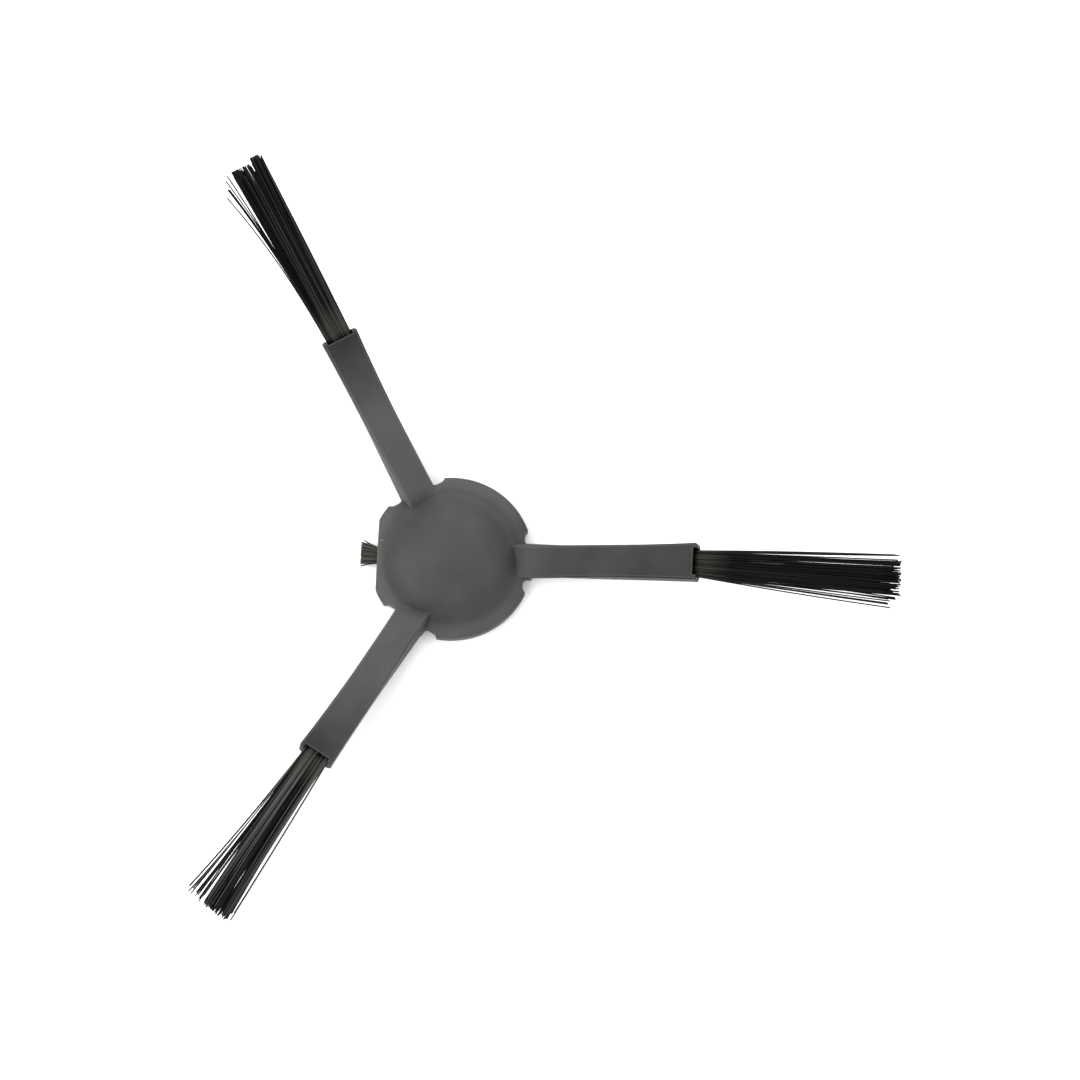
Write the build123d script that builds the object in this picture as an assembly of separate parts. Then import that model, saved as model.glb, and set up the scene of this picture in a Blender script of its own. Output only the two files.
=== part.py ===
from build123d import *

import os
import random
from math import cos, radians, sin, sqrt, tan

# Side brush of a robot vacuum cleaner, in millimetres.
# The hub and its three arms are one soft plastic moulding. A flat bundle of nylon filaments is set in the end
# of each arm, and a short trimmed one in the flat side of the hub.
# +Z points out of the domed side, which faces the floor in use. The Z axis is the drive axis, the rim of the
# hub stands on Z = 0, and the first arm lies along +X.

# Hub outline, seen along the drive axis
HUB_RADIUS = 15.0
FLAT_DEPTH = 1.5                # cut from the rim by the flat side, opposite the first arm
FLAT_CORNER_RADIUS = 1.2
STEP_DEPTH = 1.7                # cut from the rim by the straight step at each arm
STEP_WIDTH = 11.8
STEP_HOLLOW_RADIUS = 1.2        # where the ends of the step run out to the rim
STEP_CORNER_RADIUS = 0.25

# Hub section, from the rim inwards
RIM_HEIGHT = 2.4                # upright edge of the rim
RIM_EDGE_RADIUS = 0.5
RIM_EDGE_SLOPE = 70.0           # where the rounded edge meets the upright rim
FLANGE_WIDTH = 1.9              # sloping flange inside the rim
FLANGE_SLOPE = 22.0             # degrees from level
FOOT_RADIUS = 3.0               # hollow curve from flange to wall
WALL_SLOPE = 56.0               # steepest part of the dome
SHOULDER_RADIUS = 6.0           # round curve from wall to crown
CROWN_SLOPE = 17.0              # where the shoulder meets the crown
SKIN = 1.6                      # thickness of the dome, and of the skirt at the flat
SKIRT_HEIGHT = 1.6              # upright inner wall of the skirt

# Drive socket and ribs in the underside
SOCKET_SIZE = 7.0               # square, across the flats
SOCKET_CORNER_RADIUS = 0.8
SOCKET_ROOF = 1.9               # left between the socket and the top of the dome
SOCKET_LEAD_IN = 0.6
BOSS_WALL = 1.5                 # around the corners of the socket
BEAD_RADIUS = 0.7               # snap beads on two sides of the socket
BEAD_STAND = 0.35               # how far a bead stands into the socket
BEAD_LENGTH = 3.0
BEAD_DEPTH = 1.9                # rim to the middle of a bead
RIB_COUNT = 6
RIB_THICKNESS = 1.2
RIB_RECESS = 0.8                # rim to the lower edge of a rib

# Arms
ARM_COUNT = 3
ARM_REACH = 45.0                # axis to the end of an arm
ARM_ROOT_DEPTH = 4.1            # how far the arm runs into the hub behind the step
ARM_ROOT_HEIGHT = 2.8           # centre of the arm above the rim, at the step
ARM_ROOT_SLOPE = 8.5            # degrees towards the floor side
ARM_END_SLOPE = 15.5
ARM_TWIST_ANGLE = 16.5          # degrees at the root, with the leading edge higher
TWIST_END = 31.0                # axis to where the arm is level across
ROOT_WIDTH = 6.2
WAIST_WIDTH = 5.95
END_WIDTH = 6.85
WAIST_REACH = 24.0
ROOT_THICKNESS = 2.8
END_THICKNESS = 3.2
ARM_EDGE_BEVEL = 0.35
ARM_SPANS = 8                   # equal lengths that the arm is lofted in
ROOT_FILLET = 0.8               # between the step and the tongue that carries the arm

# Mouths in the ends of the arms
CHEEK = 0.85                    # wall at each side of a tuft
MOUTH_HEIGHT = 1.75
MOUTH_DEPTH = 7.0
PLATE_CUT_BACK = 0.7            # the upper plate ends short of the cheeks
ARM_END_BEVEL = 0.25

# Filaments, the same in every tuft
FILAMENT_DIAMETER = 0.28
FILAMENT_SPACING = 0.34         # between centres at the butt
FILAMENT_SIDES = 6
BUTT_FIT = 0.05                 # clearance round a bonded butt in its mouth
BUTT_MARGIN = 0.1               # bare edge above and below the filaments on the butt
BUTT_SIDE_MARGIN = 0.4          # bare edge at the sides, so that fanned filaments clear the cheeks
BUTT_GRIP = 0.5                 # how far a filament runs into the butt

# Long tufts
BUTT_RECESS = 2.2               # mouth to the face of the butt
TUFT_LENGTH = 36.0              # mouth to tips
TUFT_FAN_RATIO = 2.1            # width at the tips over width at the butt
TUFT_SWELL_RATIO = 1.9          # height at the tips over height at the butt
TUFT_STRAY = 2.0                # how far the outermost filaments of one side lean out more
TIP_WANDER = 0.11               # sideways scatter of the tips
TIP_SHORTEST_RATIO = 0.955      # shortest filament over the longest
TUFT_LEAN_ANGLES = (-4.3, 2.3, -0.7)  # degrees across, one for each tuft
STRAY_SIDES = (-1, 1, -1)       # side of each tuft's strays

# Short tuft
SHORT_MOUTH_WIDTH = 3.4
SHORT_MOUTH_HEIGHT = 1.35
SHORT_MOUTH_DEPTH = 2.6
SHORT_MOUTH_LEVEL = 1.4         # centre of the mouth above the rim
SHORT_SEAT_WALL = 0.9           # pad behind and beside the mouth
SHORT_BUTT_RECESS = 0.4
SHORT_TUFT_LENGTH = 2.9
SHORT_TUFT_FAN_RATIO = 1.3
SHORT_TUFT_SWELL_RATIO = 1.15
SHORT_TIP_WANDER = 0.04
SHORT_TIP_SHORTEST_RATIO = 0.93

# Worked out from the sizes above
ARM_TURN = 360 / ARM_COUNT
RIB_TURN = 360 / RIB_COUNT
FLAT_DISTANCE = HUB_RADIUS - FLAT_DEPTH
STEP_DISTANCE = HUB_RADIUS - STEP_DEPTH
ARM_START = STEP_DISTANCE - ARM_ROOT_DEPTH
SKIRT_INNER = FLAT_DISTANCE - SKIN
MOUTH_WIDTH = END_WIDTH - 2 * CHEEK
BOSS_RADIUS = (SOCKET_SIZE / 2 - SOCKET_CORNER_RADIUS) * sqrt(2) + SOCKET_CORNER_RADIUS + BOSS_WALL


def along(centre, radius, slope):
    """Point of an arc about centre where the section falls outwards with this slope."""
    return (centre[0] + radius * sin(radians(slope)), centre[1] + radius * cos(radians(slope)))


def section_arc(centre, radius, slope_from, slope_to):
    """Arc of the dome's half section between two slopes."""
    slopes = (slope_from, (slope_from + slope_to) / 2, slope_to)
    return ThreePointArc(*(along(centre, radius, slope) for slope in slopes))


# Centres of the arcs in the dome's half section, each tangent to the next
FLANGE_TOP = (HUB_RADIUS - FLANGE_WIDTH, RIM_HEIGHT + FLANGE_WIDTH * tan(radians(FLANGE_SLOPE)))
FLANGE_RISE = tan(radians(FLANGE_SLOPE)) - 1 / cos(radians(FLANGE_SLOPE))
EDGE_CENTRE = (HUB_RADIUS - RIM_EDGE_RADIUS, RIM_HEIGHT + RIM_EDGE_RADIUS * FLANGE_RISE)
FOOT_CENTRE = along(FLANGE_TOP, FOOT_RADIUS, FLANGE_SLOPE)
SHOULDER_CENTRE = along(FOOT_CENTRE, -FOOT_RADIUS - SHOULDER_RADIUS, WALL_SLOPE)
CROWN_RADIUS = SHOULDER_RADIUS + SHOULDER_CENTRE[0] / sin(radians(CROWN_SLOPE))
CROWN_CENTRE = along(SHOULDER_CENTRE, SHOULDER_RADIUS - CROWN_RADIUS, CROWN_SLOPE)
DOME_HEIGHT = CROWN_CENTRE[1] + CROWN_RADIUS
SOCKET_DEPTH = DOME_HEIGHT - SOCKET_ROOF


def dome():
    """Round solid under the dome's surface, wider below than the rim, for the hub's outline to trim."""
    crown = section_arc(CROWN_CENTRE, CROWN_RADIUS, 0, CROWN_SLOPE)
    shoulder = section_arc(SHOULDER_CENTRE, SHOULDER_RADIUS, CROWN_SLOPE, WALL_SLOPE)
    foot = section_arc(FOOT_CENTRE, -FOOT_RADIUS, WALL_SLOPE, FLANGE_SLOPE)
    edge = section_arc(EDGE_CENTRE, RIM_EDGE_RADIUS, FLANGE_SLOPE, RIM_EDGE_SLOPE)
    flange = Line(foot @ 1, edge @ 0)
    fall = edge @ 1
    landing = (fall.X + fall.Y / tan(radians(RIM_EDGE_SLOPE)), 0)
    base = Polyline(fall, landing, (0, 0), crown @ 0)
    section = make_face([crown, shoulder, foot, flange, edge, *base.edges()])
    return revolve(Plane.XZ * section, Axis.Z)


def hub_outline():
    """Plan of the hub: a disc with a flat side, and at each arm a straight step in the rim with a tongue."""
    far = 2 * HUB_RADIUS
    plan = Rot(Z=180) * Circle(HUB_RADIUS)
    plan -= Pos(X=-FLAT_DISTANCE - far / 2) * Rectangle(far, far)
    step = Pos(X=STEP_DISTANCE + far / 2) * RectangleRounded(far, STEP_WIDTH, STEP_HOLLOW_RADIUS)
    tongue = Pos(X=STEP_DISTANCE) * Rectangle(4 * ROOT_FILLET, ROOT_WIDTH)
    for number in range(ARM_COUNT):
        plan = plan - Rot(Z=number * ARM_TURN) * step + Rot(Z=number * ARM_TURN) * tongue
    rim_corners = plan.vertices().sort_by_distance((0, 0, 0))[-2 * ARM_COUNT - 2:]
    plan = fillet(rim_corners.sort_by(Axis.X)[2:], STEP_CORNER_RADIUS)
    plan = fillet(plan.vertices().sort_by_distance((0, 0, 0))[:2 * ARM_COUNT], ROOT_FILLET)
    return fillet(plan.vertices().sort_by(Axis.X)[:2], FLAT_CORNER_RADIUS)


def hollow():
    """Space under the dome, round a boss, ribs and the pad that the short tuft sits in."""
    roof = along(SHOULDER_CENTRE, SHOULDER_RADIUS - SKIN, CROWN_SLOPE)
    skirt = (SKIRT_INNER, SKIRT_HEIGHT)
    section = Polyline((0, 0), (SKIRT_INNER, 0), skirt, roof, (0, roof[1]), close=True)
    space = revolve(Plane.XZ * make_face(section), Axis.Z)
    space -= extrude(Circle(BOSS_RADIUS), DOME_HEIGHT)
    rib = extrude(Pos(X=HUB_RADIUS / 2) * Rectangle(HUB_RADIUS, RIB_THICKNESS), DOME_HEIGHT)
    for number in range(RIB_COUNT):
        space -= Rot(Z=number * RIB_TURN) * Pos(Z=RIB_RECESS) * rib
    pad_depth = SHORT_MOUTH_DEPTH + SHORT_SEAT_WALL
    pad = Rectangle(2 * pad_depth, SHORT_MOUTH_WIDTH + 2 * SHORT_SEAT_WALL)
    return space - extrude(Pos(X=-FLAT_DISTANCE) * pad, DOME_HEIGHT)


def hub():
    """Domed hub, hollow below."""
    return (dome() & extrude(hub_outline(), DOME_HEIGHT)) - hollow()


def drive_socket():
    """Space for the square drive post, with a flared mouth, between two snap beads."""
    square = RectangleRounded(SOCKET_SIZE, SOCKET_SIZE, SOCKET_CORNER_RADIUS)
    flare_size = SOCKET_SIZE + 2 * SOCKET_LEAD_IN
    flare = RectangleRounded(flare_size, flare_size, SOCKET_CORNER_RADIUS + SOCKET_LEAD_IN)
    space = extrude(square, SOCKET_DEPTH) + loft([flare, Pos(Z=SOCKET_LEAD_IN) * square])
    bead = Rot(X=90) * Cylinder(BEAD_RADIUS, BEAD_LENGTH)
    bead_reach = SOCKET_SIZE / 2 + BEAD_RADIUS - BEAD_STAND
    for side in (-1, 1):
        space -= Pos(side * bead_reach, 0, BEAD_DEPTH) * bead
    return space


def arm_slope(reach):
    """Rise of the arm for each millimetre outwards, at this distance from the axis."""
    root, end = tan(radians(ARM_ROOT_SLOPE)), tan(radians(ARM_END_SLOPE))
    return root + (end - root) * (reach - STEP_DISTANCE) / (ARM_REACH - STEP_DISTANCE)


def arm_centre(reach):
    """Middle of the arm's section at this distance from the axis."""
    mean_slope = (arm_slope(STEP_DISTANCE) + arm_slope(reach)) / 2
    return Vector(reach, 0, ARM_ROOT_HEIGHT + mean_slope * (reach - STEP_DISTANCE))


def arm_plane(reach, twist=0):
    """Plane across the arm, facing outwards, with its X to the leading side and its Y to the floor side."""
    leading = Vector(0, cos(radians(twist)), sin(radians(twist)))
    return Plane(arm_centre(reach), x_dir=leading, z_dir=Vector(1, 0, arm_slope(reach)))


def blade_outline(width, thickness):
    """Flat outline of the arm's section, with its long edges bevelled."""
    return chamfer(Rectangle(width, thickness).vertices(), ARM_EDGE_BEVEL)


def arm_section(reach):
    """Section of the arm, which is waisted, thickens outwards and is twisted at its root."""
    if reach < WAIST_REACH:
        waist = ROOT_WIDTH - WAIST_WIDTH
        share = (WAIST_REACH - reach) / (WAIST_REACH - STEP_DISTANCE)
    else:
        waist = END_WIDTH - WAIST_WIDTH
        share = (reach - WAIST_REACH) / (ARM_REACH - WAIST_REACH)
    width = WAIST_WIDTH + waist * share**2
    outwards = (reach - ARM_START) / (ARM_REACH - ARM_START)
    thickness = ROOT_THICKNESS + (END_THICKNESS - ROOT_THICKNESS) * outwards
    level = min(max((reach - STEP_DISTANCE) / (TWIST_END - STEP_DISTANCE), 0), 1)
    twist = ARM_TWIST_ANGLE * (1 - level**2 * (3 - 2 * level))
    return arm_plane(reach, twist) * blade_outline(width, thickness)


def mouth_plane():
    """Plane at the end of an arm: X outwards, Y to the leading side, Z to the floor side."""
    end = arm_plane(ARM_REACH)
    return Plane(end.origin, x_dir=end.z_dir, z_dir=end.y_dir)


def arm():
    """First arm, with the mouth for its tuft."""
    span = (ARM_REACH - ARM_START) / ARM_SPANS
    end = arm_plane(ARM_REACH)
    full = end.offset(-ARM_END_BEVEL) * blade_outline(END_WIDTH, END_THICKNESS)
    bevelled = end * blade_outline(END_WIDTH - 2 * ARM_END_BEVEL, END_THICKNESS - 2 * ARM_END_BEVEL)
    blade = loft([*(arm_section(ARM_START + number * span) for number in range(ARM_SPANS)), full])
    blade += loft([full, bevelled], ruled=True)
    mouth = Box(2 * MOUTH_DEPTH, MOUTH_WIDTH, MOUTH_HEIGHT)
    cut_back = Pos(Z=END_THICKNESS / 2) * Box(2 * PLATE_CUT_BACK, MOUTH_WIDTH, END_THICKNESS)
    return blade - mouth_plane() * mouth - mouth_plane() * cut_back


def short_mouth_plane():
    """Plane at the flat side of the hub with its X outwards and its Z to the floor side."""
    return Plane((-FLAT_DISTANCE, 0, SHORT_MOUTH_LEVEL), x_dir=(-1, 0, 0), z_dir=(0, 0, 1))


def brush_body():
    """Hub and arms in one piece, with the sockets for the drive post and the tufts."""
    body = hub()
    blade = arm()
    for number in range(ARM_COUNT):
        body += Rot(Z=number * ARM_TURN) * blade
    body -= drive_socket()
    return body - short_mouth_plane() * Box(2 * SHORT_MOUTH_DEPTH, SHORT_MOUTH_WIDTH, SHORT_MOUTH_HEIGHT)


def butt_places(width, height):
    """Places of the filaments on the face of a butt, in rows that are offset by half a space."""
    row_space = FILAMENT_SPACING * sin(radians(60))
    row_length = width - 2 * (BUTT_FIT + BUTT_SIDE_MARGIN) - FILAMENT_DIAMETER
    stack_height = height - 2 * (BUTT_FIT + BUTT_MARGIN) - FILAMENT_DIAMETER
    columns = int(row_length / FILAMENT_SPACING) + 1
    rows = int(stack_height / row_space) + 1
    for row in range(rows):
        for column in range(columns - row % 2):
            across = (column - (columns - 1 - row % 2) / 2) * FILAMENT_SPACING
            yield across, (row - (rows - 1) / 2) * row_space


def filament(start, tip):
    """Straight filament between two points."""
    section = RegularPolygon(FILAMENT_DIAMETER / 2, FILAMENT_SIDES)
    return extrude(Plane(start, z_dir=tip - start) * section, (tip - start).length)


def tuft(mouth, recess, length, fan, swell, wander, shortest, lean=0, stray=0, seed=0):
    """Filaments bonded to a butt that fills its mouth, in the mouth's own frame."""
    depth, width, height = mouth
    chance = random.Random(seed)
    butt_length = depth - recess - BUTT_FIT
    butt = Pos(X=-recess - butt_length / 2) * Box(butt_length, width - 2 * BUTT_FIT, height - 2 * BUTT_FIT)
    filaments = []
    for across, up in butt_places(width, height):
        start = Vector(-recess - BUTT_GRIP, across, up)
        side = max(2 * across / width * (1 if stray > 0 else -1), 0)
        tip_across = across * fan + length * tan(radians(lean)) + stray * side**4
        tip = Vector(
            length * chance.uniform(shortest, 1),
            tip_across + chance.uniform(-wander, wander),
            up * swell + chance.uniform(-wander, wander),
        )
        filaments.append(filament(start, tip))
    return butt.fuse(*filaments)


def long_tuft(number):
    """Tuft at the end of one arm."""
    bundle = tuft(
        (MOUTH_DEPTH, MOUTH_WIDTH, MOUTH_HEIGHT),
        BUTT_RECESS,
        TUFT_LENGTH,
        TUFT_FAN_RATIO,
        TUFT_SWELL_RATIO,
        TIP_WANDER,
        TIP_SHORTEST_RATIO,
        lean=TUFT_LEAN_ANGLES[number],
        stray=TUFT_STRAY * STRAY_SIDES[number],
        seed=number + 1,
    )
    return Rot(Z=number * ARM_TURN) * (mouth_plane() * bundle)


def short_tuft():
    """Trimmed tuft in the flat side of the hub."""
    bundle = tuft(
        (SHORT_MOUTH_DEPTH, SHORT_MOUTH_WIDTH, SHORT_MOUTH_HEIGHT),
        SHORT_BUTT_RECESS,
        SHORT_TUFT_LENGTH,
        SHORT_TUFT_FAN_RATIO,
        SHORT_TUFT_SWELL_RATIO,
        SHORT_TIP_WANDER,
        SHORT_TIP_SHORTEST_RATIO,
    )
    return short_mouth_plane() * bundle


os.makedirs("parts", exist_ok=True)
export_step(brush_body(), "parts/brush_body.step")
for number in range(ARM_COUNT):
    export_step(long_tuft(number), f"parts/long_tuft_{number + 1}.step")
export_step(short_tuft(), "parts/short_tuft.step")
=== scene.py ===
import random
from collections import namedtuple
from math import cos, pi, radians, sin

import bpy
from bpy.props import FloatProperty, FloatVectorProperty, PointerProperty
from mathutils import Matrix, Vector


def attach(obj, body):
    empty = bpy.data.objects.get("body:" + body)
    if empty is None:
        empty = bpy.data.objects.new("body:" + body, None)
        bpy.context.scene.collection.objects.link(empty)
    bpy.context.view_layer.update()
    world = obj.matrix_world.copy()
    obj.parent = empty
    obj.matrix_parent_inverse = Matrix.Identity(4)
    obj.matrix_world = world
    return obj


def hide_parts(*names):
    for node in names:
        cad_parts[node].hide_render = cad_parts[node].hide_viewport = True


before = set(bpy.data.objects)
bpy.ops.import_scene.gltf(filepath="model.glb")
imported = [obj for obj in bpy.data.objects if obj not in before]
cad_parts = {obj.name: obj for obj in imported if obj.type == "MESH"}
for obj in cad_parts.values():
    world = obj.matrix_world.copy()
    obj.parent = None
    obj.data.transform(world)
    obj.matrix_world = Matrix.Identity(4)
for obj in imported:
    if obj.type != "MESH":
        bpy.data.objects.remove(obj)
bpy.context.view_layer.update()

bl_info = {
    "name": "Robot Vacuum Side Brush",
    "version": (1, 0, 0),
    "blender": (4, 5, 0),
    "location": "3D View > Sidebar > Side Brush",
    "description": "Dresses a moulded side brush with nylon tufts and lights it on a pale floor",
    "category": "Object",
}

MM = 0.001
TUFT_NODES = ("long_tuft_1", "long_tuft_2", "long_tuft_3")

# How much painted sheen each tuft gets: the higher, the more of its filaments are painted pale.
SHEEN_SHARES = {"long_tuft_1": 0.68, "long_tuft_2": 0.72, "long_tuft_3": 1.15, "short_tuft": 2.2}

# Seeds of the first long tuft, from which the others count on, and of the short one.
LONG_SEED = 4
SHORT_SEED = 11

# A strand is a clump of filaments that lie together at their tips: how many, the places of its two edges
# across the tuft, how far it parts from its neighbours towards the tips, and its length from the mouth, in
# millimetres. The strands of a tuft are listed from right to left, as seen from the hub.
Strand = namedtuple("Strand", "count first last part length")
LONG_STRANDS = (
    (
        Strand(1, -8.3, -8.2, 0.0, 36.0),
        Strand(1, -8.0, -7.9, 0.1, 36.2),
        Strand(2, -7.8, -7.6, 0.4, 36.4),
        Strand(4, -6.5, -6.2, -0.4, 36.8),
        Strand(104, -6.1, 0.3, 0.0, 37.6),
        Strand(4, 1.1, 1.35, 0.0, 37.1),
    ),
    (
        Strand(14, -1.7, -1.1, -0.35, 35.8),
        Strand(38, -1.1, 0.55, -0.35, 36.2),
        Strand(56, 0.15, 3.95, 0.35, 35.4),
        Strand(2, 3.9, 4.0, 1.3, 35.2),
        Strand(2, 3.9, 4.0, 2.0, 34.4),
        Strand(1, 4.0, 4.1, 2.5, 33.6),
        Strand(1, 4.0, 4.1, 2.75, 32.5),
    ),
    (
        Strand(2, -4.0, -3.8, -1.2, 33.6),
        Strand(1, -3.6, -3.5, -1.05, 34.4),
        Strand(2, -3.1, -2.9, -0.95, 34.8),
        Strand(6, -2.6, -2.2, -0.65, 35.0),
        Strand(5, -2.1, -1.8, -0.1, 35.1),
        Strand(84, -1.9, 3.0, 0.65, 35.1),
        Strand(3, 3.2, 3.4, 0.55, 35.0),
        Strand(2, 4.4, 4.6, 0.0, 34.8),
    ),
)
SHORT_STRANDS = (
    Strand(1, -2.4, -2.3, -0.4, 2.7),
    Strand(40, -2.3, 1.65, 0.0, 3.1),
    Strand(1, 1.7, 1.8, 0.3, 3.0),
)


def linear(code):
    """Linear colour of an sRGB hex code."""
    channels = [int(code[i:i + 2], 16) / 255 for i in (1, 3, 5)]
    return tuple(c / 12.92 if c <= 0.04045 else ((c + 0.055) / 1.055) ** 2.4 for c in channels)


def colour(code, name, description):
    """Colour setting that starts from an sRGB hex code."""
    return FloatVectorProperty(
        name=name, description=description, default=linear(code), subtype="COLOR", size=3, min=0, max=1
    )


def length(millimetres, name, description):
    """Length setting that starts from a size in millimetres."""
    return FloatProperty(
        name=name, description=description, default=millimetres * MM, subtype="DISTANCE", unit="LENGTH"
    )


def position(millimetres, name, description):
    """Position setting that starts from millimetres."""
    return FloatVectorProperty(
        name=name,
        description=description,
        default=[value * MM for value in millimetres],
        subtype="TRANSLATION",
        unit="LENGTH",
    )


def angle(degrees, name, description):
    """Angle setting that starts from degrees."""
    return FloatProperty(
        name=name, description=description, default=radians(degrees), subtype="ANGLE", unit="ROTATION"
    )


class BodySettings(bpy.types.PropertyGroup):
    """Finish of the moulded hub and arms."""

    tone: colour("#393a39", "Tone", "Colour of the arms")
    # The crown and the dome's wall are coloured darker than the arms as painted shade, where the real light
    # leaves them dimmer.
    painted_crown_shade: colour("#313332", "Crown", "Colour of the top of the dome")
    painted_wall_shade: colour("#2a2c2b", "Shade", "Colour of the dome's wall")
    # The pale flange is painted light: a paler colour that stands in for the light its slope catches.
    pale: colour("#3b3d3c", "Pale", "Colour of the thin flange, which cooled first")
    # Dusky darkens the arms towards their ends and the first arm towards +X, and is also the colour of the
    # painted shade in the creases.
    dusky: colour("#161514", "Dusky", "Colour of the arm ends, which were heated to bond the tufts")
    # Worn edge is the colour of the painted highlight along the open edges, and of the faint clouds of tone.
    cloud_and_highlight: colour("#808281", "Worn edge", "Colour of the edges, where handling has polished them")
    lint: colour("#8c8e8d", "Lint", "Colour of specks of lint")
    wall: length(11.6, "Wall", "Drive axis to the steepest part of the dome")
    flange: length(14.0, "Flange", "Drive axis to the middle of the flange")
    flange_top: length(3.3, "Flange top", "Rim of the hub to the top of the flange")
    arm_middle: length(28, "Arm middle", "Drive axis to where the arms begin to darken")
    arm_end: length(45, "Arm end", "Drive axis to the ends of the arms")
    # The first arm, along +X, is coloured darker, and is darkest from this distance along X.
    plus_x_darkest: length(19, "Last filled", "Drive axis to where the first arm, which filled last, is darkest")
    cloud: length(9, "Cloud", "Width of a cloud of tone")
    grain: length(0.35, "Grain", "Width of a pit of the moulded grain")
    # Edge is the width of the rounded edges and of the painted highlight along them.
    edge: length(0.3, "Edge", "Width of a polished edge")
    crease: length(1.2, "Crease", "Width of the darker creases where faces meet")
    speck: length(0.26, "Speck", "Width of a speck of lint")
    speck_space: length(5.5, "Speck space", "Space between places where lint may lie")
    roughness: FloatProperty(
        name="Roughness", description="Roughness of the grain", default=0.5, min=0, max=1
    )


class TuftSettings(bpy.types.PropertyGroup):
    """Nylon filaments and where the long tufts sit."""

    reach: length(45, "Arm reach", "Drive axis to the end of an arm")
    height: length(9.56, "Arm end height", "Rim of the hub to the middle of an arm's end")
    slope: angle(15.5, "Arm slope", "Rise of an arm at its end")
    recess: length(2.2, "Recess", "Mouth of an arm to the face of the butt")
    butt_depth: length(4.75, "Butt depth", "Length of the bonded butt")
    butt_width: length(5.05, "Butt width", "Width of the bonded butt")
    butt_height: length(1.65, "Butt height", "Height of the bonded butt")
    spread: length(4.65, "Root width", "Width of the filaments at the butt")
    stack: length(1.2, "Root height", "Height of the filaments at the butt")
    swell: FloatProperty(name="Swell", description="Height at the tips over height at the butt", default=1.9)
    thickness: length(0.25, "Filament", "Diameter of a filament")
    nylon: colour("#030303", "Nylon", "Colour of the filaments")
    root_nylon: colour("#3e3d37", "Root nylon", "Colour of the filaments where the bonding has dulled them")
    dulled: length(6.5, "Dulled", "Mouth to where the filaments are no longer dulled")
    # Pale nylon is painted sheen: paler filaments that stand in for the streaks of light along them.
    sheen_nylon: colour("#545252", "Pale nylon", "Colour of the palest filaments")
    # Dark tips is where the painted sheen has faded to its least.
    sheen_end: length(34, "Dark tips", "Mouth to where the paler filaments have darkened")


class ShortTuftSettings(bpy.types.PropertyGroup):
    """Where the short trimmed tuft sits."""

    distance: length(13.5, "Flat", "Drive axis to the flat side of the hub")
    height: length(1.4, "Height", "Rim of the hub to the middle of the tuft")
    recess: length(0.4, "Recess", "Flat side to the face of the butt")
    butt_depth: length(2.15, "Butt depth", "Length of the bonded butt")
    butt_width: length(3.3, "Butt width", "Width of the bonded butt")
    butt_height: length(1.25, "Butt height", "Height of the bonded butt")
    spread: length(3.0, "Root width", "Width of the filaments at the butt")
    stack: length(0.9, "Root height", "Height of the filaments at the butt")
    swell: FloatProperty(name="Swell", description="Height at the tips over height at the butt", default=1.15)


class StageSettings(bpy.types.PropertyGroup):
    """Floor, lamps and camera."""

    floor: colour("#fafaf8", "Floor", "Colour of the floor")
    floor_size: length(4000, "Floor size", "Width of the floor")
    stipple: length(2, "Stipple", "Width of the roller's marks in the floor paint")
    key_power: FloatProperty(
        name="Key power", description="Power of the lamp behind the brush", default=1.7, unit="POWER"
    )
    key_place: position((100, 480, 450), "Key place", "Middle of the lamp behind the brush")
    fill_power: FloatProperty(
        name="Fill power", description="Power of the lamp at the left", default=3.2, unit="POWER"
    )
    fill_place: position((-420, -60, 440), "Fill place", "Middle of the lamp at the left")
    lamp_size: length(500, "Lamp size", "Width of each lamp")
    sky: FloatProperty(name="Sky", description="Brightness of the white room around the floor", default=1.25)
    azimuth: angle(-87.23, "Azimuth", "Bearing of the camera from +X")
    elevation: angle(79.3, "Elevation", "Height of the camera above the horizon")
    distance: length(1000, "Distance", "Camera to the point that it aims at")
    focal: FloatProperty(name="Focal length", description="Lens of the camera", default=182.2, unit="CAMERA")
    aim: position((16.09, 4.06, 2.62), "Aim", "Point in the middle of the picture")


def add_node(tree, kind, inputs=None, **settings):
    """Adds a node with its settings, and sets or links the inputs that are given by name or number."""
    node = tree.nodes.new(kind)
    for name, value in settings.items():
        setattr(node, name, value)
    for name, value in (inputs or {}).items():
        if isinstance(value, bpy.types.NodeSocket):
            tree.links.new(value, node.inputs[name])
        else:
            node.inputs[name].default_value = value
    return node


def new_material(name):
    """Empty material, its node tree and its output."""
    material = bpy.data.materials.new(name)
    material.use_nodes = True
    material.node_tree.nodes.clear()
    return material, material.node_tree, material.node_tree.nodes.new("ShaderNodeOutputMaterial")


def opaque(rgb):
    """Colour for a node's socket."""
    return (*rgb, 1)


# Sockets of a Mix node that mixes colours, whose names are shared with its sockets for numbers.
FIRST_COLOUR = 6
SECOND_COLOUR = 7
MIXED_COLOUR = 2

# Polypropylene's typical index, and how much of the usual mirror light the pitted skin gives.
POLYPROPYLENE_IOR = 1.49
PITTED_SPECULAR = 0.2

# Shares of the body's settings at which a tone begins or ends.
CROWN_SHARE = 0.6
FLANGE_INNER_SHARE = 0.88
FLANGE_FADE_SHARE = 1.15
PLUS_X_START_SHARE = 0.5
SPECK_CORE_SHARE = 0.7

# How much of a coat of colour shows where it is full.
PLUS_X_COAT = 0.8
CLOUD_COAT = 0.05
CREASE_SHADE_COAT = 0.5
HIGHLIGHT_COAT = 0.45

# Where a coat begins and where it is full: in the noise, in how open the surface is, or in how far an edge
# turns.
CLOUD_NOISE = (0.35, 0.65)
CREASE_SHADE_OPENNESS = (0.9, 0.5)
HIGHLIGHT_OPENNESS = (0.75, 0.95)
HIGHLIGHT_TURN = (0.99, 0.85)

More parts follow.
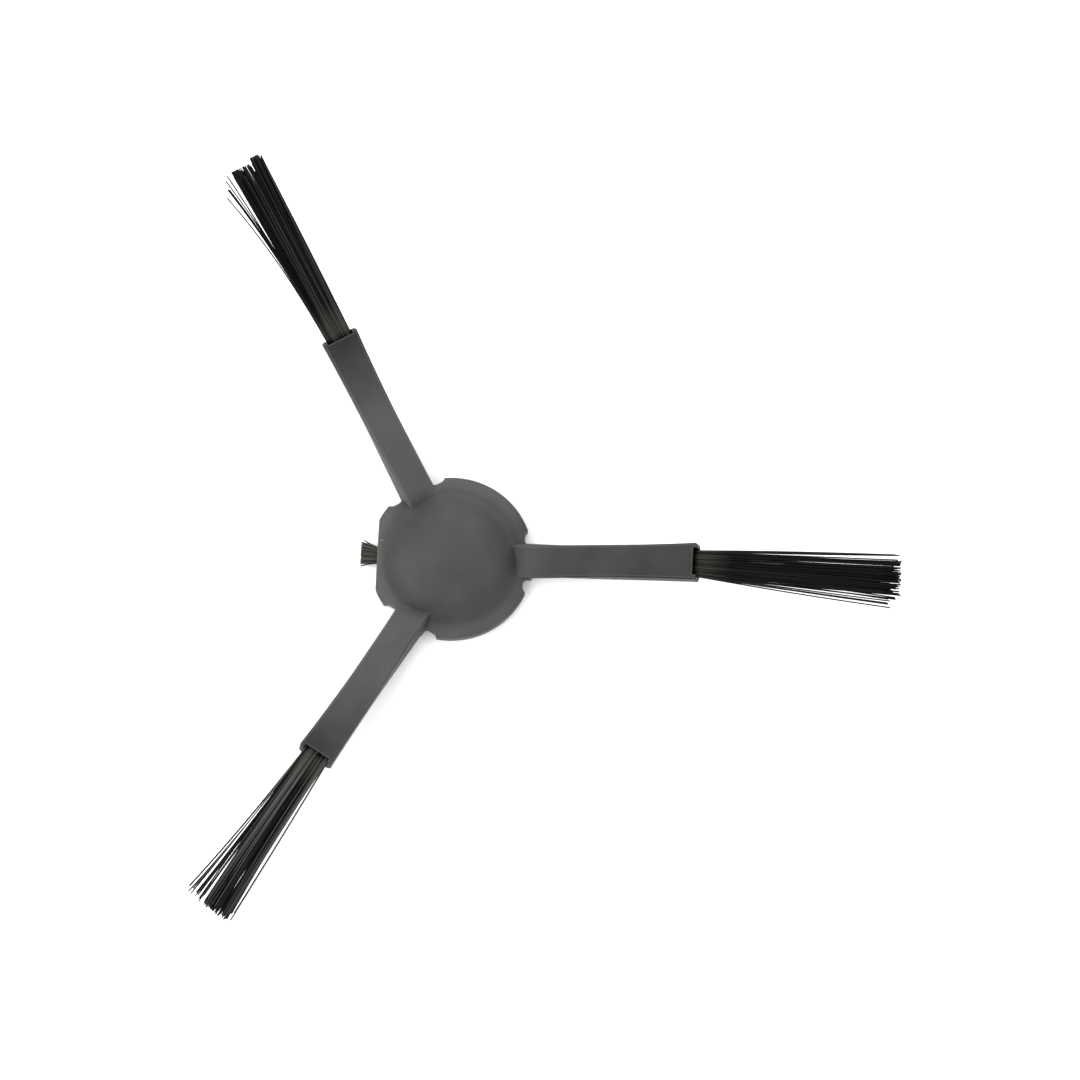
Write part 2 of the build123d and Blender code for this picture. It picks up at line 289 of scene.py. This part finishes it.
# Grain: the range of its noise, what it adds to or takes from the roughness, and its bump.
PIT_NOISE = (0.3, 0.7)
PIT_ROUGHNESS = 0.05
PIT_STRENGTH = 0.25
PIT_DEPTH = 0.02 * MM

# Fineness of the noises and of the sampled edges and creases.
CLOUD_DETAIL = 2
PIT_DETAIL = 3
OPENNESS_SAMPLES = 8
EDGE_SAMPLES = 6


def moulded_plastic(settings):
    """Soft polypropylene blend, injection moulded in a spark-eroded tool."""
    # The fine pits scatter the light, so it looks matte and grey rather than black, with faint clouds of tone
    # where the melt cooled unevenly. Light and shade are also painted into its colour: painted shade on the
    # crown, on the dome's wall and in the creases, painted light on the flange, and a painted highlight along
    # the open edges.
    material, tree, output = new_material("moulded_soft_polypropylene")
    point = add_node(tree, "ShaderNodeTexCoord").outputs["Object"]
    axes = add_node(tree, "ShaderNodeSeparateXYZ", {"Vector": point}).outputs
    plan = add_node(tree, "ShaderNodeVectorMath", {0: point, 1: (1, 1, 0)}, operation="MULTIPLY")
    radius = add_node(
        tree, "ShaderNodeVectorMath", {0: plan.outputs["Vector"]}, operation="LENGTH"
    ).outputs["Value"]

    # Bands of tone follow the way from the drive axis to the arm ends: painted shade on the crown, darker
    # painted shade on the dome's wall, the arms' tone, and darker towards the arm ends.
    reach = add_node(tree, "ShaderNodeMapRange", {"Value": radius, "From Max": settings.arm_end})
    bands = add_node(tree, "ShaderNodeValToRGB", {"Fac": reach.outputs["Result"]})
    stops = bands.color_ramp.elements
    stops[0].color, stops[1].color = opaque(settings.painted_crown_shade), opaque(settings.dusky)
    for distance, tone in (
        (CROWN_SHARE * settings.wall, settings.painted_crown_shade),
        (settings.wall, settings.painted_wall_shade),
        (settings.flange, settings.tone),
        (settings.arm_middle, settings.tone),
    ):
        stops.new(distance / settings.arm_end).color = opaque(tone)

    # The flange gets painted light, a paler colour that stands in for the light its slope catches.
    # The flange is the only low face at its distance from the axis: its height tells it from the arm roots.
    outer = add_node(
        tree,
        "ShaderNodeMapRange",
        {"Value": radius, "From Min": FLANGE_INNER_SHARE * settings.flange, "From Max": settings.flange},
    )
    painted_flange_light = add_node(
        tree,
        "ShaderNodeMapRange",
        {
            "Value": axes["Z"],
            "From Min": settings.flange_top,
            "From Max": FLANGE_FADE_SHARE * settings.flange_top,
            "To Min": outer.outputs["Result"],
            "To Max": 0,
        },
    )
    # The colour darkens towards +X, so the first arm is darker.
    darker_to_plus_x = add_node(
        tree,
        "ShaderNodeMapRange",
        {
            "Value": axes["X"],
            "From Min": PLUS_X_START_SHARE * settings.plus_x_darkest,
            "From Max": settings.plus_x_darkest,
            "To Max": PLUS_X_COAT,
        },
    )
    clouds = add_node(
        tree, "ShaderNodeTexNoise", {"Vector": point, "Scale": 1 / settings.cloud, "Detail": CLOUD_DETAIL}
    )
    cloudy = add_node(
        tree,
        "ShaderNodeMapRange",
        {
            "Value": clouds.outputs["Fac"],
            "From Min": CLOUD_NOISE[0],
            "From Max": CLOUD_NOISE[1],
            "To Max": CLOUD_COAT,
        },
    )

    # Painted shade darkens the creases, and only the edges that stand clear of them get a painted highlight.
    openness = add_node(
        tree,
        "ShaderNodeAmbientOcclusion",
        {"Distance": settings.crease},
        samples=OPENNESS_SAMPLES,
        only_local=True,
    ).outputs["AO"]
    # Painted shade: the colour darkens in the creases, where little light reaches.
    crease_shade = add_node(
        tree,
        "ShaderNodeMapRange",
        {
            "Value": openness,
            "From Min": CREASE_SHADE_OPENNESS[0],
            "From Max": CREASE_SHADE_OPENNESS[1],
            "To Max": CREASE_SHADE_COAT,
        },
    )
    # Painted highlight: open, rounded edges are lightened as if they caught the light.
    highlight_strength = add_node(
        tree,
        "ShaderNodeMapRange",
        {
            "Value": openness,
            "From Min": HIGHLIGHT_OPENNESS[0],
            "From Max": HIGHLIGHT_OPENNESS[1],
            "To Max": HIGHLIGHT_COAT,
        },
    )
    rounded = add_node(
        tree, "ShaderNodeBevel", {"Radius": settings.edge}, samples=EDGE_SAMPLES
    ).outputs["Normal"]
    facing = add_node(tree, "ShaderNodeNewGeometry").outputs["Normal"]
    turn = add_node(tree, "ShaderNodeVectorMath", {0: rounded, 1: facing}, operation="DOT_PRODUCT")
    highlighted = add_node(
        tree,
        "ShaderNodeMapRange",
        {
            "Value": turn.outputs["Value"],
            "From Min": HIGHLIGHT_TURN[0],
            "From Max": HIGHLIGHT_TURN[1],
            "To Max": highlight_strength.outputs["Result"],
        },
    )
    spots = add_node(tree, "ShaderNodeTexVoronoi", {"Vector": point, "Scale": 1 / settings.speck_space})
    speck_radius = 0.5 * settings.speck / settings.speck_space
    linted = add_node(
        tree,
        "ShaderNodeMapRange",
        {
            "Value": spots.outputs["Distance"],
            "From Min": SPECK_CORE_SHARE * speck_radius,
            "From Max": speck_radius,
            "To Min": 1,
            "To Max": 0,
        },
    )

    # The coats lie over the bands in this order.
    shown = bands.outputs["Color"]
    for share, tone in (
        (painted_flange_light, settings.pale),
        (darker_to_plus_x, settings.dusky),
        (cloudy, settings.cloud_and_highlight),
        (crease_shade, settings.dusky),
        (highlighted, settings.cloud_and_highlight),
        (linted, settings.lint),
    ):
        coat = add_node(
            tree,
            "ShaderNodeMix",
            {"Factor": share.outputs["Result"], FIRST_COLOUR: shown, SECOND_COLOUR: opaque(tone)},
            data_type="RGBA",
        )
        shown = coat.outputs[MIXED_COLOUR]

    # The real pits are about 0.05 mm wide: they are drawn wider, so that they show.
    pits = add_node(
        tree, "ShaderNodeTexNoise", {"Vector": point, "Scale": 1 / settings.grain, "Detail": PIT_DETAIL}
    )
    roughness = add_node(
        tree,
        "ShaderNodeMapRange",
        {
            "Value": pits.outputs["Fac"],
            "From Min": PIT_NOISE[0],
            "From Max": PIT_NOISE[1],
            "To Min": settings.roughness - PIT_ROUGHNESS,
            "To Max": settings.roughness + PIT_ROUGHNESS,
        },
    )
    bump = add_node(
        tree,
        "ShaderNodeBump",
        {"Height": pits.outputs["Fac"], "Strength": PIT_STRENGTH, "Distance": PIT_DEPTH, "Normal": rounded},
    )
    shader = add_node(
        tree,
        "ShaderNodeBsdfPrincipled",
        {
            "Base Color": shown,
            "Roughness": roughness.outputs["Result"],
            "IOR": POLYPROPYLENE_IOR,
            "Specular IOR Level": PITTED_SPECULAR,
            "Normal": bump.outputs["Normal"],
        },
    )
    tree.links.new(shader.outputs["BSDF"], output.inputs["Surface"])
    return material


# Nylon's typical index, how much of the usual mirror light a thin filament gives, and its roughness.
NYLON_IOR = 1.53
FILAMENT_SPECULAR = 0.07
FILAMENT_ROUGHNESS = (0.3, 0.5)
MARK_DETAIL = 2

# A filament gets painted sheen, a paler colour, if its chance is higher than this. The painted sheen falls
# from a share of the way to the dark tips, down to what is left there.
SHEEN_CHANCE = 0.55
SHEEN_FADE_SHARE = 0.4
TIP_SHEEN = 0.4

# How dull the roots are at the lowest and the highest chance, and the share of the way at which that fades.
ROOT_DULLNESS = (0.15, 0.85)
DULLED_SHARE = 0.3

# Places about the mouth, as shares of the recess, between which the filaments come out of the painted shadow
# of the mouth.
MOUTH_SHADOW_SHARES = (-0.35, 0.2)


def drawn_nylon(settings):
    """Black nylon monofilament, drawn and cut."""
    # Drawing leaves a smooth skin with a soft streak of light along each filament. Paler filaments, chosen at
    # random, are painted sheen that stands in for these streaks and fades towards the tips; the bonding at
    # the root dulls them to an olive grey, and within the mouth they are kept black as painted shadow.
    material, tree, output = new_material("drawn_black_nylon")
    run = add_node(tree, "ShaderNodeAttribute", attribute_name="run").outputs["Fac"]
    chance = add_node(tree, "ShaderNodeAttribute", attribute_name="chance").outputs["Fac"]
    # Painted sheen: the paler filaments, fading towards the tips.
    sheen_left = add_node(
        tree,
        "ShaderNodeMapRange",
        {
            "Value": run,
            "From Min": SHEEN_FADE_SHARE * settings.sheen_end,
            "From Max": settings.sheen_end,
            "To Min": 1,
            "To Max": TIP_SHEEN,
        },
    )
    pale = add_node(
        tree,
        "ShaderNodeMapRange",
        {"Value": chance, "From Min": SHEEN_CHANCE, "To Max": sheen_left.outputs["Result"]},
    )
    dullness = add_node(
        tree,
        "ShaderNodeMapRange",
        {"Value": chance, "To Min": ROOT_DULLNESS[0], "To Max": ROOT_DULLNESS[1]},
    )

    # Within the mouth the filaments stay black, as painted shadow of the recess.
    outside_mouth_shadow = add_node(
        tree,
        "ShaderNodeMapRange",
        {
            "Value": run,
            "From Min": MOUTH_SHADOW_SHARES[0] * settings.recess,
            "From Max": MOUTH_SHADOW_SHARES[1] * settings.recess,
            "To Max": dullness.outputs["Result"],
        },
    )
    dulled = add_node(
        tree,
        "ShaderNodeMapRange",
        {
            "Value": run,
            "From Min": DULLED_SHARE * settings.dulled,
            "From Max": settings.dulled,
            "To Min": outside_mouth_shadow.outputs["Result"],
            "To Max": 0,
        },
    )

    # The coats lie over the black in this order.
    shown = opaque(settings.nylon)
    for share, tone in ((pale, settings.sheen_nylon), (dulled, settings.root_nylon)):
        coat = add_node(
            tree,
            "ShaderNodeMix",
            {"Factor": share.outputs["Result"], FIRST_COLOUR: shown, SECOND_COLOUR: opaque(tone)},
            data_type="RGBA",
        )
        shown = coat.outputs[MIXED_COLOUR]

    # Drawing marks are far finer than a pixel: these are as wide as a filament, so that they show.
    point = add_node(tree, "ShaderNodeTexCoord").outputs["Object"]
    marks = add_node(
        tree, "ShaderNodeTexNoise", {"Vector": point, "Scale": 1 / settings.thickness, "Detail": MARK_DETAIL}
    )
    roughness = add_node(
        tree,
        "ShaderNodeMapRange",
        {"Value": marks.outputs["Fac"], "To Min": FILAMENT_ROUGHNESS[0], "To Max": FILAMENT_ROUGHNESS[1]},
    )
    shader = add_node(
        tree,
        "ShaderNodeBsdfPrincipled",
        {
            "Base Color": shown,
            "Roughness": roughness.outputs["Result"],
            "IOR": NYLON_IOR,
            "Specular IOR Level": FILAMENT_SPECULAR,
        },
    )
    tree.links.new(shader.outputs["BSDF"], output.inputs["Surface"])
    return material


# Rolled paint: roughness, how much of the usual mirror light it gives, and the bump of the roller's marks.
PAINT_ROUGHNESS = 0.9
PAINT_SPECULAR = 0.1
STIPPLE_DETAIL = 2
STIPPLE_STRENGTH = 0.05
STIPPLE_DEPTH = 0.05 * MM


def matte_paint(settings):
    """Matte white floor paint, rolled on."""
    # It gives an even pale ground with hardly any gloss.
    material, tree, output = new_material("rolled_matte_paint")
    point = add_node(tree, "ShaderNodeTexCoord").outputs["Object"]
    stipple = add_node(
        tree, "ShaderNodeTexNoise", {"Vector": point, "Scale": 1 / settings.stipple, "Detail": STIPPLE_DETAIL}
    )
    bump = add_node(
        tree,
        "ShaderNodeBump",
        {"Height": stipple.outputs["Fac"], "Strength": STIPPLE_STRENGTH, "Distance": STIPPLE_DEPTH},
    )
    shader = add_node(
        tree,
        "ShaderNodeBsdfPrincipled",
        {
            "Base Color": opaque(settings.floor),
            "Roughness": PAINT_ROUGHNESS,
            "Specular IOR Level": PAINT_SPECULAR,
            "Normal": bump.outputs["Normal"],
        },
    )
    tree.links.new(shader.outputs["BSDF"], output.inputs["Surface"])
    return material


def dress(piece, material):
    """Gives a piece one material."""
    piece.data.materials.clear()
    piece.data.materials.append(material)


class TuftMesh:
    """Collects the filaments and the butt of one tuft, whose mouth is at the origin and faces +X."""

    SIDES = 6
    STEPS = 14
    EASE_SHARE = 1 / 6

    def __init__(self, seed, sheen_share):
        self.chance = random.Random(seed)
        self.sheen_share = sheen_share
        self.points, self.faces, self.runs, self.tones = [], [], [], []

    def add_points(self, points, run, tone):
        """Points at one run from the mouth, and their numbers in the mesh."""
        first = len(self.points)
        self.points += points
        self.runs += [run] * len(points)
        self.tones += [tone] * len(points)
        return [first + i for i in range(len(points))]

    def add_filament(self, path, thickness):
        """Round filament along a path, closed at its root and cut square at its tip."""
        # Share of painted sheen and of root dullness for this filament.
        tone = self.sheen_share * self.chance.random()
        before = None
        for centre in path:
            turns = [2 * pi * side / self.SIDES for side in range(self.SIDES)]
            ring = [centre + Vector((0, cos(t), sin(t))) * thickness / 2 for t in turns]
            ring = self.add_points(ring, centre.x, tone)
            if before:
                for i in range(self.SIDES):
                    j = (i + 1) % self.SIDES
                    self.faces.append((before[i], before[j], ring[j], ring[i]))
            else:
                self.faces.append(tuple(reversed(ring)))
            before = ring
        self.faces.append(tuple(before))

    def add_butt(self, back, front, width, height):
        """Block that the roots are bonded in, with its long edges eased."""
        ease = self.EASE_SHARE * height
        outline = []
        for y, z in ((1, 1), (-1, 1), (-1, -1), (1, -1)):
            corner = Vector((0, y * width / 2, z * height / 2))
            across, up = Vector((0, -y * ease, 0)), Vector((0, 0, -z * ease))
            outline += [corner + up, corner + across] if y * z > 0 else [corner + across, corner + up]
        ends = [self.add_points([p + Vector((x, 0, 0)) for p in outline], x, 0) for x in (back, front)]
        count = len(outline)
        for i in range(count):
            j = (i + 1) % count
            self.faces.append((ends[0][i], ends[0][j], ends[1][j], ends[1][i]))
        self.faces.append(tuple(reversed(ends[0])))
        self.faces.append(tuple(ends[1]))

    def piece(self, name, place):
        """Finished object, placed by a matrix that is worked into its mesh."""
        mesh = bpy.data.meshes.new(name)
        mesh.from_pydata([place @ p for p in self.points], [], self.faces)
        for label, values in (("run", self.runs), ("chance", self.tones)):
            mesh.attributes.new(label, "FLOAT", "POINT").data.foreach_set("value", values)
        for face in mesh.polygons:
            face.use_smooth = len(face.vertices) == 4
        mesh.update()
        piece = bpy.data.objects.new(name, mesh)
        bpy.context.scene.collection.objects.link(piece)
        return piece


# Chances at the roots: the stagger of the rows and the stray of a root, in columns, and how far out of turn
# a root may be, as a share of the width.
ROW_STAGGER = 0.5
ROOT_STRAY = 0.2
OUT_OF_TURN = 0.04

# Chances at the tips: the stray across in gaps, in partings and in root heights, and the most that trimming
# takes off a length. A filament bends by a share of its length.
TIP_STRAY = 0.6
PARTING_STRAY = 0.1
HEIGHT_STRAY = 0.06
TRIM_LOSS = 0.055
BEND_SHARE = 0.0025

# The strands part late on the way to their tips: the higher, the later.
PARTING_POWER = 2.4


def roots(chance, seat, count):
    """Places of the filaments on a butt, in staggered rows, sorted across with a few out of turn."""
    rows = max(2, round((count * seat.stack / seat.spread) ** 0.5))
    columns = -(-count // rows)
    places = []
    for i in range(count):
        row, column = i % rows, i // rows
        stagger = ROW_STAGGER * (row % 2 - 0.5)
        stray = chance.uniform(-ROOT_STRAY, ROOT_STRAY)
        across = (column + 0.5 + stagger) / columns - 0.5 + stray / columns
        up = (row + 0.5) / rows - 0.5
        places.append((across * seat.spread, up * seat.stack))
    return sorted(places, key=lambda root: root[0] + chance.gauss(0, OUT_OF_TURN) * seat.spread)


def build_tuft(node, place, seat, strands, thickness, seed, nylon):
    """Tuft of filaments that run from a butt to the tips of its strands, in place of a plain node."""
    tuft = TuftMesh(seed, SHEEN_SHARES[node])
    chance = tuft.chance
    tuft.add_butt(-seat.recess - seat.butt_depth, -seat.recess, seat.butt_width, seat.butt_height)
    starts = iter(roots(chance, seat, sum(strand.count for strand in strands)))
    for strand in strands:
        gap = (strand.last - strand.first) / strand.count
        for i in range(strand.count):
            across, up = next(starts)
            tip_across = (strand.first + gap * (i + 0.5 + chance.uniform(-TIP_STRAY, TIP_STRAY))) * MM
            part = strand.part * chance.uniform(1 - PARTING_STRAY, 1 + PARTING_STRAY) * MM
            tip_up = up * seat.swell + chance.uniform(-HEIGHT_STRAY, HEIGHT_STRAY) * seat.stack
            reach = strand.length * MM * (1 - TRIM_LOSS * chance.random() ** 2)
            bow = chance.gauss(0, BEND_SHARE) * reach
            sag = chance.gauss(0, BEND_SHARE) * reach
            path = []
            for step in range(TuftMesh.STEPS + 1):
                t = step / TuftMesh.STEPS
                hump = sin(pi * t)
                path.append(
                    Vector(
                        (
                            -seat.recess + (reach + seat.recess) * t,
                            across + (tip_across - across) * t + part * t**PARTING_POWER + bow * hump,
                            up + (tip_up - up) * t + sag * hump,
                        )
                    )
                )
            tuft.add_filament(path, thickness)
    piece = tuft.piece(f"{node}_filaments", place)
    dress(piece, nylon)
    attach(piece, "root")
    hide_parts(node)


class SIDE_BRUSH_OT_body(bpy.types.Operator):
    """Give the moulded hub and arms their finish"""

    bl_idname = "side_brush.body"
    bl_label = "Moulded Body"

    def execute(self, context):
        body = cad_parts["brush_body"]
        dress(body, moulded_plastic(context.scene.side_brush_body))
        return {"FINISHED"}


class SIDE_BRUSH_OT_long_tufts(bpy.types.Operator):
    """Set a fanned tuft of filaments in the end of each arm"""

    bl_idname = "side_brush.long_tufts"
    bl_label = "Long Tufts"

    def execute(self, context):
        seat = context.scene.side_brush_tufts
        nylon = drawn_nylon(seat)
        mouth = Matrix.Translation((seat.reach, 0, seat.height)) @ Matrix.Rotation(-seat.slope, 4, "Y")
        for number, node in enumerate(TUFT_NODES):
            place = Matrix.Rotation(2 * pi * number / len(TUFT_NODES), 4, "Z") @ mouth
            build_tuft(node, place, seat, LONG_STRANDS[number], seat.thickness, LONG_SEED + number, nylon)
        return {"FINISHED"}


class SIDE_BRUSH_OT_short_tuft(bpy.types.Operator):
    """Set the short trimmed tuft in the flat side of the hub"""

    bl_idname = "side_brush.short_tuft"
    bl_label = "Short Tuft"

    def execute(self, context):
        seat = context.scene.side_brush_short_tuft
        filaments = context.scene.side_brush_tufts
        place = Matrix.Translation((-seat.distance, 0, seat.height)) @ Matrix.Rotation(pi, 4, "Z")
        nylon = bpy.data.materials["drawn_black_nylon"]
        build_tuft("short_tuft", place, seat, SHORT_STRANDS, filaments.thickness, SHORT_SEED, nylon)
        return {"FINISHED"}


# Width of the camera's sensor, in millimetres like its lens, and the nearest that it sees.
SENSOR_WIDTH = 36
CLIP_START = 10 * MM


class SIDE_BRUSH_OT_stage(bpy.types.Operator):
    """Lay the floor, hang the lamps and place the camera"""

    bl_idname = "side_brush.stage"
    bl_label = "Stage"

    def execute(self, context):
        scene, settings = context.scene, context.scene.side_brush_stage
        half = settings.floor_size / 2
        mesh = bpy.data.meshes.new("floor")
        corners = [(-half, -half, 0), (half, -half, 0), (half, half, 0), (-half, half, 0)]
        mesh.from_pydata(corners, [], [(0, 1, 2, 3)])
        floor = bpy.data.objects.new("floor", mesh)
        scene.collection.objects.link(floor)
        dress(floor, matte_paint(settings))

        for name, power, place in (
            ("key_lamp", settings.key_power, settings.key_place),
            ("fill_lamp", settings.fill_power, settings.fill_place),
        ):
            lamp = bpy.data.lights.new(name, "AREA")
            lamp.energy, lamp.size = power, settings.lamp_size
            hung = bpy.data.objects.new(name, lamp)
            hung.location = place
            hung.rotation_euler = (-Vector(place)).to_track_quat("-Z", "Y").to_euler()
            scene.collection.objects.link(hung)

        world = bpy.data.worlds.new("white_room")
        world.use_nodes = True
        room = world.node_tree.nodes["Background"]
        room.inputs["Color"].default_value = (1, 1, 1, 1)
        room.inputs["Strength"].default_value = settings.sky
        scene.world = world
        scene.view_settings.view_transform = "Standard"

        data = bpy.data.cameras.new("camera")
        data.lens, data.sensor_width, data.clip_start = settings.focal, SENSOR_WIDTH, CLIP_START
        camera = bpy.data.objects.new("camera", data)
        level = cos(settings.elevation)
        back = Vector((cos(settings.azimuth) * level, sin(settings.azimuth) * level, sin(settings.elevation)))
        camera.location = Vector(settings.aim) + back * settings.distance
        camera.rotation_euler = (-back).to_track_quat("-Z", "Y").to_euler()
        scene.collection.objects.link(camera)
        scene.camera = camera
        return {"FINISHED"}


class SIDE_BRUSH_PT_panel(bpy.types.Panel):
    """Settings and steps of the side brush"""

    bl_label = "Side Brush"
    bl_space_type = "VIEW_3D"
    bl_region_type = "UI"
    bl_category = "Side Brush"

    def draw(self, context):
        """Shows each group of settings with its step."""
        for holder, operator in STEPS:
            settings = getattr(context.scene, holder)
            box = self.layout.box()
            for name in settings.__annotations__:
                box.prop(settings, name)
            box.operator(operator.bl_idname)


HOLDERS = {
    "side_brush_body": BodySettings,
    "side_brush_tufts": TuftSettings,
    "side_brush_short_tuft": ShortTuftSettings,
    "side_brush_stage": StageSettings,
}
STEPS = (
    ("side_brush_body", SIDE_BRUSH_OT_body),
    ("side_brush_tufts", SIDE_BRUSH_OT_long_tufts),
    ("side_brush_short_tuft", SIDE_BRUSH_OT_short_tuft),
    ("side_brush_stage", SIDE_BRUSH_OT_stage),
)
CLASSES = (*HOLDERS.values(), *(operator for _, operator in STEPS), SIDE_BRUSH_PT_panel)


def register():
    """Adds the classes, and their settings to every scene."""
    for entry in CLASSES:
        bpy.utils.register_class(entry)
    for holder, group in HOLDERS.items():
        setattr(bpy.types.Scene, holder, PointerProperty(type=group))


def unregister():
    """Takes away what register adds."""
    for holder in HOLDERS:
        delattr(bpy.types.Scene, holder)
    for entry in reversed(CLASSES):
        bpy.utils.unregister_class(entry)


def main():
    """Builds the brush and its stage."""
    register()
    bpy.ops.side_brush.body()
    bpy.ops.side_brush.long_tufts()
    bpy.ops.side_brush.short_tuft()
    bpy.ops.side_brush.stage()


if __name__ == "__main__":
    main()
